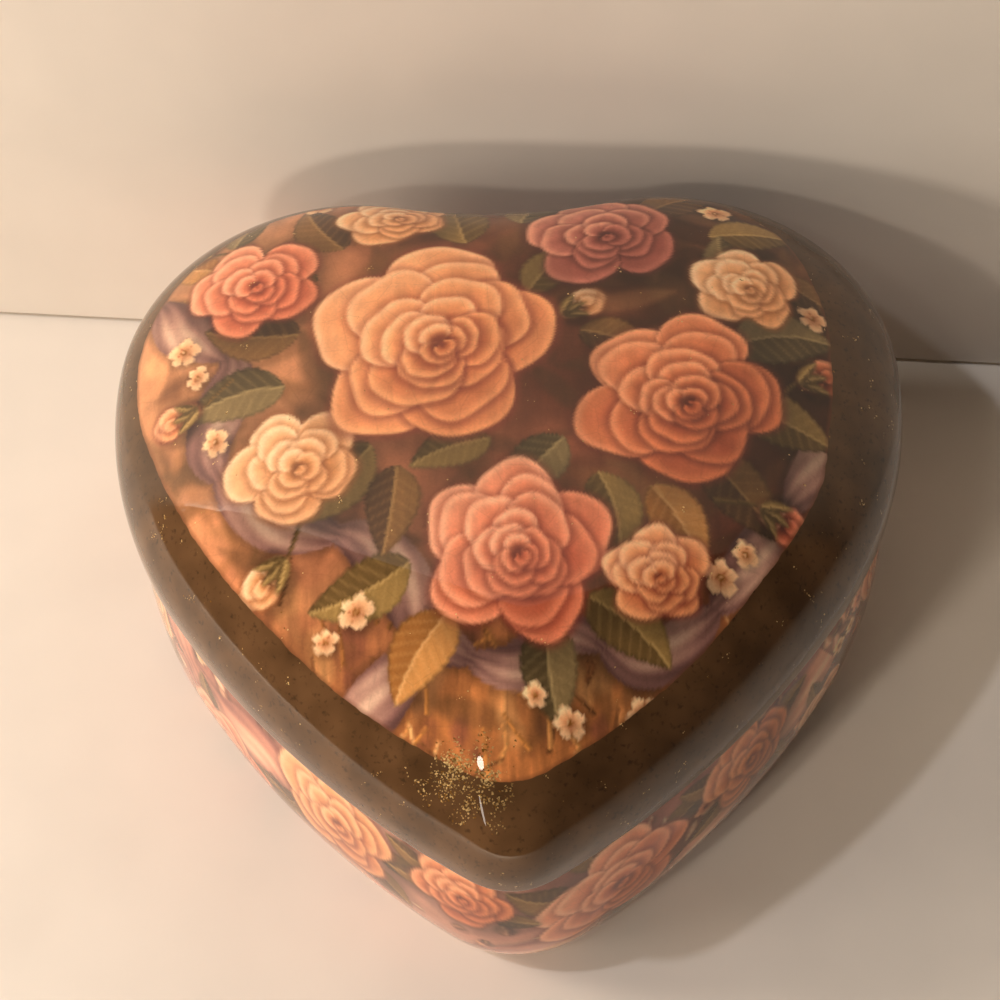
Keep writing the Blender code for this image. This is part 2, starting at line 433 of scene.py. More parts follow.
def ramp(share, *tones):
    # A colour between the given tones for each share from 0 to 1
    share = np.clip(share, 0, 1) * (len(tones) - 1)
    low = np.minimum(share.astype(int), len(tones) - 2)
    part = (share - low)[:, None]
    tones = np.array(tones)
    return tones[low] * (1 - part) + tones[low + 1] * part


def castShade(sheet, place, radius, strength):
    # The soft dark that a flower or leaf throws on what lies under it
    drift = (0.12, -0.14)
    spots, u, v = around(sheet, (place[0] + drift[0] * radius, place[1] + drift[1] * radius), radius * 1.4)
    far = np.hypot(u, v) / radius
    lay(sheet, spots, strength * ease(1.35, 0.75, far), sheet["rgb"][spots] * 0.45)


def paintPetal(sheet, spots, far, angle, radius, middle, half, reach, tones, dice, lamp):
    # Light where it faces the lamp, deeper towards its root, with a rolled lip and a soft shade under it
    rim, face, fold, deep = tones
    off = (angle - middle + pi) % (2 * pi) - pi
    side = off / half
    facing, local = cos(middle - lamp), np.cos(angle - lamp)
    wave = 1 + 0.030 * np.cos(side * 5.5 + dice.random() * 6) + 0.012 * np.sin(off * 11 + dice.random() * 6)
    edge = reach * np.cos(np.clip(side, -1, 1) * pi / 2) ** 0.36 * wave
    gap = (edge - far) * radius
    inside = np.abs(side) < 1
    drop = 0.9 + 0.055 * radius
    lay(sheet, spots, (0.46 - 0.16 * local) * inside * ease(-drop, 0.0, gap) * (gap < 0.3), deep)
    depth = np.clip(gap / (0.50 * reach * radius + 1.2), 0, 1)
    share = 0.20 - 0.12 * facing - 0.07 * local + 0.70 * depth ** 1.25
    lip = np.exp(-((gap - 0.5) / 0.55) ** 2) * (0.55 + 0.45 * local)
    curl = np.exp(-((gap - 1.9) / 0.9) ** 2)
    crease = np.exp(-((side - dice.uniform(-0.25, 0.25)) / 0.16) ** 2) * ease(0.5, 2.5, gap)
    colour = ramp(share - 0.13 * lip + 0.07 * curl + 0.06 * crease + 0.10 * side ** 2, rim, face, fold, deep)
    blush = 1.0 + 0.020 * np.sin(off * 17 + 3 * np.sin(far * 4) + dice.random() * 6)
    lay(sheet, spots, inside * ease(-0.34, 0.34, gap), np.clip(colour * blush[:, None], 0, 1))


def paintRose(sheet, place, radius, turn, tones, seed, squash=0.92):
    # A full-blown rose: petals painted from the outside in, each over the last, round a dark cup
    dice = np.random.default_rng(seed)
    tones = [tone(t) for t in tones]
    castShade(sheet, place, radius, 0.6)
    spots, u, v = around(sheet, place, radius * 1.3, turn)
    v = v / squash
    lamp = paintLamp - turn
    plans = [(5, 1.00, 0.00), (5, 0.82, 0.01), (4, 0.63, 0.05), (4, 0.47, 0.09), (3, 0.33, 0.11),
             (3, 0.21, 0.12)]
    if radius < 13.5:
        plans = [(5, 1.00, 0.00), (5, 0.76, 0.02), (4, 0.53, 0.07), (3, 0.33, 0.10)]
    for count, reach, lift in plans:
        ul, vl = u + lift * radius * cos(lamp), v + lift * radius * sin(lamp)
        far = np.hypot(ul, vl) / radius
        angle = np.arctan2(vl, ul)
        start = dice.random() * 2 * pi
        for k in dice.permutation(count):
            middle = start + 2 * pi * k / count + dice.normal(0, 0.12)
            half = pi / count * dice.uniform(1.30, 1.55)
            paintPetal(sheet, spots, far, angle, radius, middle, half,
                       reach * dice.uniform(0.92, 1.05), tones, dice, lamp)
    lay(sheet, spots, 0.80 * ease(0.14, 0.05, far), tones[3] * 0.85)
    paintPetal(sheet, spots, far, angle, radius, lamp + pi, 1.5, 0.13, tones, dice, lamp)


def paintBlossom(sheet, place, radius, turn, tones, petals=5):
    rim, face, fold, heartTone = [tone(t) for t in tones]
    castShade(sheet, place, radius, 0.4)
    spots, u, v = around(sheet, place, radius * 1.2, turn)
    far = np.hypot(u, v) / radius
    angle = np.arctan2(v, u)
    dice = np.random.default_rng(int(abs(place[0] * 13 + place[1] * 29)) + 3)
    angle = angle + 0.16 * np.sin(angle + dice.random() * 6)
    far = far * (1 + 0.09 * np.sin(angle * 2 + dice.random() * 6) + 0.04 * np.sin(angle * 9))
    beat = np.abs(np.cos(angle * petals / 2))
    gap = (0.56 + 0.44 * beat ** 0.55 - far) * radius
    share = 0.75 - 0.75 * ease(0.2, 0.85, far) + 0.5 * ease(0.3, 0.0, beat) * ease(1.0, 0.4, far)
    light = 1 + 0.10 * np.cos(angle + turn - paintLamp)
    lay(sheet, spots, ease(-0.2, 0.2, gap), ramp(share, rim, face, fold) * light[:, None])
    lay(sheet, spots, ease(0.26, 0.17, far), heartTone)
    lay(sheet, spots, 0.8 * ease(0.12, 0.05, np.hypot(u / radius + 0.05, v / radius - 0.05)), rim)


def paintLeaf(sheet, stem, length, width, turn, tones, bend=0.12):
    # A toothed leaf in two tones, with its midrib and side veins, from its stem to its point
    light, dark, vein = [tone(t) for t in tones]
    middle = (stem[0] + cos(turn) * length / 2, stem[1] + sin(turn) * length / 2)
    castShade(sheet, middle, length * 0.42, 0.35)
    spots, u, v = around(sheet, stem, length * 1.1, turn)
    s = u / length
    v = v - bend * length * 4 * s * (1 - s) * 0.5
    t = np.clip(s, 0, 1)
    teeth = 1 + 0.09 * (1 - (t * 10) % 1.0) * ease(0.0, 0.2, t)
    gap = width / 2 * np.sin(pi * t ** 0.72) ** 0.8 * teeth - np.abs(v)
    inside = (s > 0) & (s < 1)
    upper = ease(-0.15, 0.15, v)[:, None]
    colour = light * upper + dark * (1 - upper)
    rib = np.abs(s * 8.5 - np.abs(v) / width * 3.2)
    rib = np.abs(rib - np.round(rib))
    colour = colour + (vein - colour) * (0.22 * ease(0.26, 0.03, rib))[:, None]
    colour = colour + (vein - colour) * (0.8 * ease(0.34, 0.12, np.abs(v)))[:, None]
    colour = colour * (1 - 0.25 * ease(0.7, 0.0, gap))[:, None]
    lay(sheet, spots, inside * ease(-0.3, 0.3, gap), colour)


def smoothPath(points, count=260):
    # An even curve through the given points
    points = np.array(points, dtype=float)
    padded = np.vstack([2 * points[0] - points[1], points, 2 * points[-1] - points[-2]])
    at = np.linspace(0, len(points) - 1.0001, count)
    k = at.astype(int)
    t = (at - k)[:, None]
    a, b, c, d = padded[k], padded[k + 1], padded[k + 2], padded[k + 3]
    return 0.5 * (2 * b + (c - a) * t + (2 * a - 5 * b + 4 * c - d) * t ** 2
                  + (3 * b - a - 3 * c + d) * t ** 3)


def nearPath(sheet, path, reach):
    low, high = path.min(0) - reach, path.max(0) + reach
    x, y = sheet["x"], sheet["y"]
    spots = np.flatnonzero((x > low[0]) & (x < high[0]) & (y > low[1]) & (y < high[1]))
    apart = (x[spots, None] - path[None, :, 0]) ** 2 + (y[spots, None] - path[None, :, 1]) ** 2
    close = apart.argmin(1)
    run = np.gradient(path, axis=0)
    run /= np.linalg.norm(run, axis=1, keepdims=True)
    length = np.concatenate([[0], np.cumsum(np.linalg.norm(np.diff(path, axis=0), axis=1))])
    dx, dy = x[spots] - path[close, 0], y[spots] - path[close, 1]
    across = run[close, 0] * dy - run[close, 1] * dx
    past = np.abs(run[close, 0] * dx + run[close, 1] * dy)
    return spots, across, length[close], past, length[-1]


def paintRibbon(sheet, points, width, tones, twists, phase=0.0):
    # A satin ribbon that turns over along its way, bright along its crown and dark in its folds
    spots, across, along, past, total = nearPath(sheet, smoothPath(points), width)
    flip = np.cos(along / total * pi * twists + phase)
    half = width / 2 * (0.30 + 0.70 * np.abs(flip) ** 0.7)
    gap = half - np.abs(across)
    side = across / half
    sheen = 0.5 - 0.42 * np.cos((side - 0.25 * np.sign(flip)) * 2.4) * np.abs(flip)
    sheen = sheen + 0.12 * np.sin(side * 9 + along * 0.5)
    colour = ramp(sheen + 0.25 * (1 - np.abs(flip)), *[tone(t) for t in tones])
    lay(sheet, spots, 0.45 * ease(-1.8, 0.0, gap) * (past < 0.6), sheet["rgb"][spots] * 0.5)
    lay(sheet, spots, ease(-0.2, 0.2, gap) * (past < 0.6), colour)


def paintStem(sheet, points, width, colour):
    spots, across, along, past, total = nearPath(sheet, smoothPath(points, 90), width + 1)
    gap = width / 2 * (1 - 0.5 * along / total) - np.abs(across)
    shade = np.where(across > 0, 1.12, 0.85)[:, None]
    lay(sheet, spots, ease(-0.2, 0.2, gap) * (past < 0.4), np.clip(tone(colour) * shade, 0, 1))


def paintBud(sheet, place, radius, turn, tones, green):
    dice = np.random.default_rng(int(abs(place[0] * 31 + place[1] * 17)) + 5)
    back = (place[0] - cos(turn) * radius * 0.9, place[1] - sin(turn) * radius * 0.9)
    tail = (back[0] - cos(turn + 0.5) * radius * 1.6, back[1] - sin(turn + 0.5) * radius * 1.6)
    paintStem(sheet, [tail, back, place], 0.9, green[1])
    castShade(sheet, place, radius, 0.45)
    solid = [tone(t) for t in tones]
    spots, u, v = around(sheet, place, radius * 1.5, turn)
    far = np.hypot(u * 0.82, v * 1.15) / radius
    angle = np.arctan2(v, u)
    for middle, half, reach in ((0.0, 1.5, 1.0), (0.75, 1.15, 0.92), (-0.7, 1.15, 0.9), (0.2, 0.9, 0.6),
                                (pi, 1.7, 0.72)):
        paintPetal(sheet, spots, far, angle, radius, middle, half, reach, solid, dice, paintLamp - turn)
    for swing in (-0.55, 0.0, 0.55):
        paintLeaf(sheet, back, radius * 1.25, radius * 0.42, turn + swing, green, 0.05)


roseTones = {
    "peach": ("#f4bd8a", "#e29c66", "#b96a42", "#74382a"),
    "rust": ("#e8a070", "#c9744a", "#96492f", "#5a2a1f"),
    "cream": ("#f6d3a2", "#e8b27c", "#c08450", "#84502f"),
    "plum": ("#d99a7c", "#b06a58", "#7d4238", "#4c2622"),
    "salmon": ("#f2b088", "#dc8660", "#ae573c", "#6b3024"),
}
leafTones = {
    "olive": ("#8d7440", "#5d4a28", "#b59a5c"),
    "umber": ("#75552f", "#4a3420", "#9a7a48"),
    "moss": ("#7a6a44", "#4d4229", "#a08f5e"),
    "straw": ("#c08a4a", "#94632f", "#dcae6c"),
}
satin = ("#d9b99c", "#ab8573", "#7d5b52", "#523a36")


def paintLidPrint(x, y):
    # Ground: tan at the upper left, dark brown at the upper right, straw at the tip
    sheet = newSheet(x, y, "#a56a48")
    every = np.arange(len(x))
    drift = cloud(x, y, 26.0, 1) - 0.5
    rightward = ease(-34, 26, x + 0.35 * y + 26 * drift)
    lay(sheet, every, rightward, tone("#6e3c29"))
    lay(sheet, every, 0.9 * ease(2, 40, x + 0.6 * y + 16 * drift) * ease(-38, 2, y), tone("#412819"))
    lay(sheet, every, 0.85 * ease(-28, -60, y - 0.1 * np.abs(x) + 22 * drift), tone("#b0703a"))
    lay(sheet, every, 0.85 * ease(-14, -46, x) * ease(-50, -6, y + 12 * drift), tone("#dea06c"))
    # Dry grass at the tip: upright fibres, pale tufts and a few plum hollows
    tip = ease(-30, -50, y - 0.1 * np.abs(x) + 10 * drift)
    tufts = cloud(x * 1.3, y * 0.8, 6.0, 61, 3) - 0.5
    lay(sheet, every, 0.75 * tip * ease(0.04, 0.30, tufts), tone("#d8a060"))
    lay(sheet, every, 0.70 * tip * ease(-0.08, -0.26, tufts), tone("#6e4030"))
    fibres = cloud(x * 6.0, y * 0.7, 4.0, 62, 3) - 0.5
    sheet["rgb"] *= (1 + 0.55 * tip * fibres)[:, None]
    brush = cloud(x * 0.45 + y * 0.9, y * 0.35 - x, 3.6, 7, 3) - 0.5
    patches = cloud(x, y, 9.0, 3, 3) - 0.5
    sheet["rgb"] *= (1 + 0.34 * patches + 0.26 * brush)[:, None]
    dice = np.random.default_rng(11)
    # Soft far-off foliage behind the flowers
    for _ in range(230):
        px, py = dice.uniform(-60, 56), dice.uniform(-66, 48)
        shade = dice.choice(["#7d5532", "#5c3a24", "#8f6038", "#4f3a22", "#9a6f45"])
        turn, length = dice.uniform(0, 2 * pi), dice.uniform(5, 11)
        spots, u, v = around(sheet, (px, py), length, turn)
        gap = length * 0.24 * np.cos(np.clip(u / length, -1, 1) * pi / 2) - np.abs(v)
        lay(sheet, spots, 0.42 * ease(-0.9, 0.9, gap) * (np.abs(u) < length), tone(shade))
    # Grasses and fallen straw towards the tip
    for _ in range(120):
        px, py = dice.uniform(-36, 36), dice.uniform(-74, -38)
        turn = dice.normal(radians(85), 0.5)
        length = dice.uniform(3, 8)
        shade = dice.choice(["#c98f4e", "#8a5a2e", "#d6a465", "#6b4526", "#b57a3c"])
        bend = dice.normal(0, 0.6)
        paintStem(sheet, [(px, py), (px + cos(turn) * length / 2 + bend, py + sin(turn) * length / 2),
                          (px + cos(turn) * length, py + sin(turn) * length)], 0.8, shade)
    # Trailing ribbon, behind the flowers
    paintRibbon(sheet, [(-64, 30), (-54, 15), (-43, 4), (-46, -12), (-35, -25), (-20, -31), (-13, -45),
                        (-22, -58)], 9.5, satin, 5.0, 0.4)
    paintRibbon(sheet, [(-13, -45), (0, -51), (10, -46), (20, -50), (31, -41), (41, -27), (50, -14)],
                8.0, satin, 4.0, 0.2)
    # Leaves round each flower: stem, length, width, bearing, kind
    leaves = [(-30, 18, 18, 10, 150, "olive"), (-26, 26, 17, 9, 118, "umber"), (-6, 26, 19, 10, 100, "olive"),
              (3, 32, 15, 8, 70, "moss"), (24, 34, 17, 9, 40, "umber"), (34, 28, 16, 8, 12, "olive"),
              (36, 4, 18, 10, 10, "moss"), (36, -6, 17, 9, -22, "olive"), (30, -16, 18, 9, -48, "umber"),
              (12, -40, 16, 9, -40, "olive"), (6, -44, 16, 8, -84, "moss"), (-8, -42, 16, 9, -122, "straw"),
              (-14, -34, 17, 9, -158, "olive"), (-34, -2, 17, 9, 190, "moss"), (-32, 8, 17, 9, 166, "umber"),
              (-20, -14, 18, 9, 222, "olive"), (-48, 26, 14, 7, 150, "straw"), (-46, 32, 13, 7, 70, "moss"),
              (45, 20, 13, 7, -30, "umber"), (0, 42, 14, 7, 20, "moss"), (-14, 36, 14, 7, 130, "straw"),
              (8, 18, 15, 8, 20, "umber"), (4, 14, 14, 7, 52, "olive"), (9, -14, 14, 8, 228, "moss"),
              (14, -20, 15, 8, 280, "olive"), (-16, -18, 15, 8, 262, "umber"), (38, 16, 13, 7, 100, "moss"),
              (22, -22, 15, 8, 300, "straw"), (-2, -14, 13, 7, 200, "olive"), (12, 6, 12, 7, -20, "umber")]
    for px, py, length, width, turn, kind in leaves:
        paintLeaf(sheet, (px, py), length, width, radians(turn), leafTones[kind], dice.uniform(-0.15, 0.18))
    buds = [(-53, 36, 4.6, 130, "salmon"), (50, 0, 4.6, 20, "rust"), (42, -26, 4.4, -30, "salmon"),
            (-36, -34, 4.6, 220, "cream"), (6, 48, 4.6, 80, "peach"), (-52, -4, 4.2, 190, "peach"),
            (12, 11, 3.8, 30, "cream")]
    for px, py, radius, turn, kind in buds:
        paintBud(sheet, (px, py), radius, radians(turn), roseTones[kind], leafTones["olive"])
    blossoms = [(-52, 9, 3.0, 10), (-45, -10, 2.5, 40), (-8, 43, 2.8, 5), (36, 36, 2.8, 25),
                (32, -36, 2.9, 15), (20, -57, 2.6, 50), (-22, -41, 2.8, 0), (9, -59, 2.5, 33),
                (50, 12, 2.6, 0), (-32, 42, 3.0, 12), (-49, 3, 2.2, 60), (4, -55, 1.9, 20),
                (36, -32, 2.2, 40), (-27, -45, 2.1, 10), (46, 36, 2.2, 70), (-13, 46, 2.2, 30)]
    for px, py, radius, turn in blossoms:
        paintBlossom(sheet, (px, py), radius, radians(turn), ("#edc795", "#dba673", "#a96a44", "#80501f"))
    # Roses: place, radius, turn, kind and seed, the farthest back first
    roses = [(16, 28, 13.0, 0.6, "plum", 21), (-41, 21, 12.0, 2.2, "salmon", 22),
             (39, 17, 9.5, 1.1, "cream", 23), (27, -6, 17.0, 0.3, "rust", 24),
             (-32, -16, 11.0, 3.0, "cream", 29), (-18, 35, 9.5, 0.1, "cream", 27),
             (1, -32, 15.5, 1.7, "salmon", 25), (-11, 6, 21.0, 0.9, "peach", 26),
             (22, -36, 8.5, 0.1, "peach", 28)]
    for px, py, radius, turn, kind, seed in roses:
        paintRose(sheet, (px, py), radius, turn, roseTones[kind], seed)
    streaks = cloud(x * 5.0, y * 0.5, 3.6, 5, 2) - 0.5
    sheet["rgb"] *= (1 + 0.09 * streaks + 0.14 * (cloud(x, y, 5.0, 8, 2) - 0.5))[:, None]
    # Painted light: the whole print is lightened a little and warmed, standing in for the lamps' warm light
    return np.clip(np.clip(sheet["rgb"], 0, 1) ** 0.93 * np.array([1.07, 1.0, 0.97]), 0, 1)


def paintBodyPrint(along, height):
    # along is 0 at the tip and runs to the right, height is measured up the wall
    sheet = newSheet(along, height, "#8d5548")
    every = np.arange(len(along))
    patches = cloud(along, height, 15.0, 31, 3) - 0.5
    lay(sheet, every, ease(-0.05, 0.35, patches), tone("#b57460"))
    lay(sheet, every, 0.7 * ease(0.02, -0.35, patches), tone("#6a3b36"))
    lay(sheet, every, 0.8 * ease(34, 8, np.abs(along + 22)), tone("#b98670"))
    sheet["rgb"] *= (1 + 0.25 * (cloud(along, height, 4.0, 32, 3) - 0.5))[:, None]
    dice = np.random.default_rng(41)
    foliage = [("#e2a07c", "#b06a50", "#f2c29c"), ("#c98462", "#8f4f3c", "#e8ad84"),
               ("#8a5a44", "#5f3830", "#b98462"), ("#6d4a3a", "#4a2c28", "#9a7052"),
               ("#e9b48e", "#c48264", "#f8d6b0")]
    for _ in range(1150):
        px, py = dice.uniform(-198, 198), dice.uniform(1, 41)
        if abs(px) < 42 and dice.random() < 0.7:
            continue
        length = dice.uniform(2.2, 5.6)
        paintLeaf(sheet, (px, py), length, length * dice.uniform(0.42, 0.6), dice.uniform(0, 2 * pi),
                  foliage[dice.integers(len(foliage))], dice.normal(0, 0.1))
    for _ in range(230):
        px, py = dice.uniform(-198, 198), dice.uniform(2, 39)
        if abs(px) < 34:
            continue
        kind = dice.choice(["peach", "salmon", "cream"])
        paintBlossom(sheet, (px, py), dice.uniform(1.5, 2.9), dice.uniform(0, 6), roseTones[kind])
    paintRibbon(sheet, [(-80, 36), (-62, 24), (-46, 27), (-30, 10), (-10, 6), (8, 13), (26, 7), (46, 20),
                        (66, 30)], 13.0, ("#f6c39c", "#e0987a", "#b0705c", "#7c4840"), 5.0, 0.3)
    roses = [(-33, 27, 12.0, "peach", 0.4), (17, 24, 13.0, "salmon", 1.5), (-9, 30, 8.5, "rust", 2.4),
             (-60, 14, 10.0, "salmon", 0.9), (45, 27, 10.0, "rust", 0.2), (66, 13, 8.5, "peach", 2.1),
             (-88, 26, 9.5, "cream", 1.2), (90, 26, 9.5, "salmon", 0.5), (-116, 14, 8.5, "peach", 0.1),
             (122, 16, 9.0, "rust", 1.9), (-150, 26, 9.5, "salmon", 2.9), (154, 24, 9.5, "peach", 0.7)]
    for px, py, radius, kind, turn in roses:
        for k in range(4):
            swing = turn + k * pi / 2 + dice.normal(0, 0.3)
            start = (px + cos(swing) * radius * 0.7, py + sin(swing) * radius * 0.7)
            paintLeaf(sheet, start, radius * 0.95, radius * 0.5, swing, leafTones["umber"], 0.1)
        paintRose(sheet, (px, py), radius, turn, roseTones[kind], 60 + int(abs(px)), 1.12)
    grain = cloud(along, height, 1.6, 35, 2) - 0.5
    sheet["rgb"] *= (1 + 0.05 * grain)[:, None]
    # Painted light: the whole body print is lightened and warmed a little, standing in for more light falling
    # on the body
    return np.clip(np.clip(sheet["rgb"], 0, 1) ** 0.86 * np.array([1.05, 1.0, 0.97]), 0, 1)


# A distance from the print's edge, in millimetres, that counts as well within or well outside it
farInside = 20.0

# How far out the lid's print runs, as shares of the rim's reach by bearing in degrees
lidPrintEdge = ((-180, 0.914), (-170, 0.893), (-158, 0.879), (-145, 0.878), (-130, 0.879), (-115, 0.888),
                (-105, 0.889), (-91, 0.885), (-75, 0.881), (-60, 0.872), (-45, 0.852), (-30, 0.845),
                (-20, 0.838), (-10, 0.812), (5, 0.802), (22, 0.812), (34, 0.848), (48, 0.876),
                (62, 0.872), (90, 0.85), (120, 0.86), (150, 0.90), (170, 0.922), (180, 0.914))


def printLid():
    # The print is painted on the dome; band, rim, lip and inside stay plain glaze
    shape = lidShape
    middle = (0.0, offsetY - lidSizes["centreReach"], 0.0)
    outer = [k for k in range(len(shape["rings"])) if shape["charts"][k] == 0]
    firstInner = outer[-1] + 1
    outerFlat = np.vstack(unrollRings(shape["rings"][:firstInner + 1], middle))
    innerFlat = np.vstack(unrollRings(shape["rings"][firstInner:][::-1], middle)[::-1])
    split = shape["starts"][firstInner]
    count = len(shape["points"])
    flatA, flatB = np.zeros((count, 2)), np.zeros((count, 2))
    flatA[:len(outerFlat)] = outerFlat
    flatB[split:split + len(innerFlat)] = innerFlat
    colours = np.tile(tone("#6b5138"), (count, 1))
    edges = np.full(count, -farInside)
    away = shape["points"][:split, :2] - np.array(middle[:2])
    reach, bearings = np.hypot(away[:, 0], away[:, 1]), np.degrees(np.arctan2(away[:, 1], away[:, 0]))
    limit = np.interp(bearings, *zip(*lidPrintEdge))
    rimCount = 2400
    rim = heart(stationsFor(rimCount), 0.0) + np.array([0.0, lidSizes["centreReach"]])
    rimBearing, rimReach = np.degrees(np.arctan2(rim[:, 1], rim[:, 0])), np.hypot(rim[:, 0], rim[:, 1])
    order = np.argsort(rimBearing)
    fullReach = np.interp(bearings, rimBearing[order], rimReach[order], period=360)
    # Shares turn into reach as the dome's own rings do
    oval = 1 / np.hypot(np.cos(np.radians(bearings)) / lidSizes["crownHalfWidth"],
                        np.sin(np.radians(bearings)) / lidSizes["crownHalfDepth"])
    limitReach = limit * (fullReach + (oval - fullReach) * lidSizes["crownBlend"] * (1 - limit))
    edges[:split] = (limitReach - reach) * 1.15
    painted = np.flatnonzero(edges > -1.5)
    colours[painted] = paintLidPrint(flatA[painted, 0], flatA[painted, 1])
    edges[-2], colours[-2] = farInside, colours[0]
    writeDabs(shape, colours, edges)
    cornerA, cornerB = flatA[shape["faces"]], flatB[shape["faces"]]
    inner = shape["faceCharts"] == 1
    corners = np.zeros_like(cornerA)
    for mine, flat, low, high in ((~inner, cornerA, (0.005, 0.205), (0.795, 0.995)),
                                  (inner, cornerB, (0.70, 0.005), (0.995, 0.195))):
        corners[mine] = fitSheet(flat[mine].reshape(-1, 2), low, high).reshape(-1, 3, 2)
    writeUv(shape, corners)


# The strip that the body's print is painted on, and how far up its foot stays bare, in millimetres
bodyPrint = {"girth": 392.0, "sheetLength": 198.0, "raggedFoot": 3.0, "plainFoot": 1.0}


def printBody():
    # The wall is one long strip from the tip, and its foot stays bare near the tip
    shape = bodyShape
    count = len(shape["points"])
    station, rise, length, before = np.zeros(count), np.zeros(count), 0.0, None
    for k, ring in enumerate(shape["rings"]):
        at = slice(shape["starts"][k], shape["starts"][k + 1])
        station[at] = stationsFor(len(ring))
        if before is not None and shape["charts"][k] == 0:
            length += np.hypot(bodyRing(8, ring[0, 2])[4, 1] - before[0], ring[0, 2] - before[1])
        before = (bodyRing(8, ring[0, 2])[4, 1], ring[0, 2])
        rise[at] = length
    wall = np.zeros(count, dtype=bool)
    for k, chart in enumerate(shape["charts"]):
        wall[shape["starts"][k]:shape["starts"][k + 1]] = chart == 0
    spots = np.flatnonzero(wall)
    along = np.where(station > 0.5, station - 1, station) * bodyPrint["girth"]
    height = shape["points"][:, 2]
    colours = np.tile(tone("#dba98a"), (count, 1))
    colours[spots] = paintBodyPrint(along[spots], height[spots])
    edges = np.full(count, -farInside)
    drift = cloud(along[spots], height[spots] * 0 + 3, 5.0, 51) - 0.5
    ragged = bodyPrint["raggedFoot"] * np.exp(-(along[spots] / 26) ** 2)
    ragged = ragged + bodyPrint["plainFoot"] + 1.1 * drift
    edges[spots] = height[spots] - ragged
    writeDabs(shape, colours, edges)
    faces, charts = shape["faces"], shape["faceCharts"]
    corners = np.zeros((len(faces), 3, 2))
    strip = charts == 0
    turns = station[faces[strip]]
    left = turns.max(1) > 0.5
    turns = np.where(left[:, None] & (turns < 0.25), 1.0, turns)
    u = np.where(left[:, None], (turns - 0.5) * 2, turns * 2)
    v = 0.008 + rise[faces[strip]] / bodyPrint["sheetLength"] * 0.99 + 0.245 * left[:, None]
    corners[strip] = np.stack([0.005 + u * 0.99, v], -1)
    middle = (0.0, offsetY - bodySizes["floorCentre"], 0.0)
    for chart, low, high in ((1, (0.005, 0.505), (0.30, 0.995)), (2, (0.31, 0.505), (0.995, 0.995))):
        mine = charts == chart
        rings = [k for k in range(len(shape["rings"])) if shape["charts"][k] == chart]
        # Each chart takes in the ring past its last strip, or before its first
        first, last = rings[0], min(rings[-1] + 1, len(shape["rings"]) - 1)
        picked = shape["rings"][first:last + 1]
        flat = np.zeros((count, 2))
        unrolled = unrollRings(picked, middle) if chart == 1 else unrollRings(picked[::-1], middle)[::-1]
        flat[shape["starts"][first]:shape["starts"][last + 1]] = np.vstack(unrolled)
        corners[mine] = fitSheet(flat[faces[mine]].reshape(-1, 2), low, high).reshape(-1, 3, 2)
    writeUv(shape, corners)


printLid()
printBody()
print("print painted")


def linear(hexCode):
    # One sRGB hex value as Blender's linear colour
    parts = [int(hexCode[i:i + 2], 16) / 255 for i in (1, 3, 5)]
    return tuple(p / 12.92 if p < 0.04045 else ((p + 0.055) / 1.055) ** 2.4 for p in parts) + (1.0,)


def addNode(tree, kind, inputs=None, **settings):
    made = tree.nodes.new("ShaderNode" + kind)
    for name, value in settings.items():
        setattr(made, name, value)
    for key, value in (inputs or {}).items():
        if isinstance(value, bpy.types.NodeSocket):
            tree.links.new(value, made.inputs[key])
        else:
            made.inputs[key].default_value = value
    return made


def fineScale(size):
    # A texture's scale for patches of this many millimetres
    return 1.0 / (size * mm)


def mottling(tree, place, size, detail, **settings):
    inputs = {"Vector": place, "Scale": fineScale(size), "Detail": detail}
    return addNode(tree, "TexNoise", {**inputs, **settings}).outputs[0]


def spread(tree, value, low, high, least=0.0, most=1.0, curve="LINEAR"):
    # Turns the range from low to high into the one from least to most, and holds it there
    inputs = {"Value": value, "From Min": low, "From Max": high, "To Min": least, "To Max": most}
    return addNode(tree, "MapRange", inputs, interpolation_type=curve).outputs[0]


def blend(tree, share, first, second):
    return addNode(tree, "Mix", {0: share, 6: first, 7: second}, data_type="RGBA").outputs[2]


def reckon(tree, operation, *values):
    return addNode(tree, "Math", dict(enumerate(values)), operation=operation).outputs[0]


def stretch(tree, vector, size):
    return addNode(tree, "VectorMath", {0: vector, "Scale": size}, operation="SCALE").outputs[0]


lidGlazeLook = {
    "bareLight": "#64462a",
    "bareDark": "#49311a",
    "freckle": "#1d1209",
    # The bright fleck tone and the spot near the tip that the flecks gather round are painted glints at the
    # lamp's highlight
    "giltGlint": "#ffd992",
    "giltDull": "#8a5f26",
    "giltShare": 1.17,
    "giltGlintCentre": (-5.8 * mm, -50.4 * mm, 57.0 * mm),
    "edgeLine": "#6e4026",
    "craze": 0.10,
}
bodyGlazeLook = {
    "bareLight": "#e3b394",
    "bareDark": "#cf9a7c",
    "freckle": "#a06a50",
    "giltGlint": "#d9a24c",
    "giltDull": "#8a5a24",
    "giltShare": 2.0,
    "giltGlintCentre": (0.0, 0.0, 0.0),
    "edgeLine": "#8d5240",
    "craze": 0.07,
}
crazeColour = "#3a2015"


def bareGlaze(tree, place, look):
    # Soft mottling 9 mm across, with darker freckles under 1 mm
    mottled = spread(tree, mottling(tree, place, 9.0, 2.0), 0.34, 0.66)
    bare = blend(tree, mottled, linear(look["bareDark"]), linear(look["bareLight"]))
    specks = spread(tree, mottling(tree, place, 0.9, 2.0), 0.58, 0.74, most=0.55)
    return blend(tree, specks, bare, linear(look["freckle"]))


